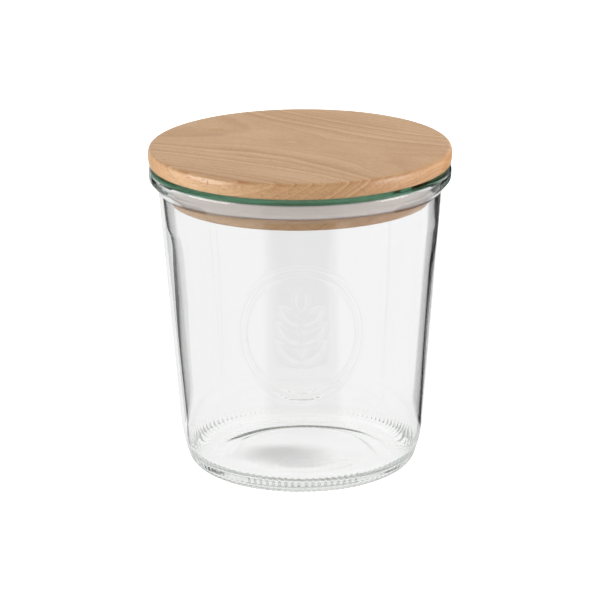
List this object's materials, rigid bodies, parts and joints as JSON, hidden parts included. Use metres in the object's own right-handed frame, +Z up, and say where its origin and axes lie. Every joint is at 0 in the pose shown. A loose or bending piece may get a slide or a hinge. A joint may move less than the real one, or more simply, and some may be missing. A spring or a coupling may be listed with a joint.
{
  "type": "glass jar with wooden lid",
  "caption": "Tapered clear glass jar with a thick rim, closed by a turned wooden lid whose plug carries a silicone sealing ring.",
  "frame": {"origin": "centre of the foot, in the plane the jar stands on", "axes": "+Z up along the jar's axis; the solids are turned about it, so +X and +Y are free"},
  "size_m": [0.1084, 0.1084, 0.1178],
  "materials": {
    "glass": "clear, fire polished",
    "beech": "sanded, lightly oiled",
    "silicone": "translucent, satin"
  },
  "bodies": {
    "root": {"glass_jar": "glass", "wooden_lid": "beech", "silicone_seal": "silicone"}
  },
  "joints": []
}
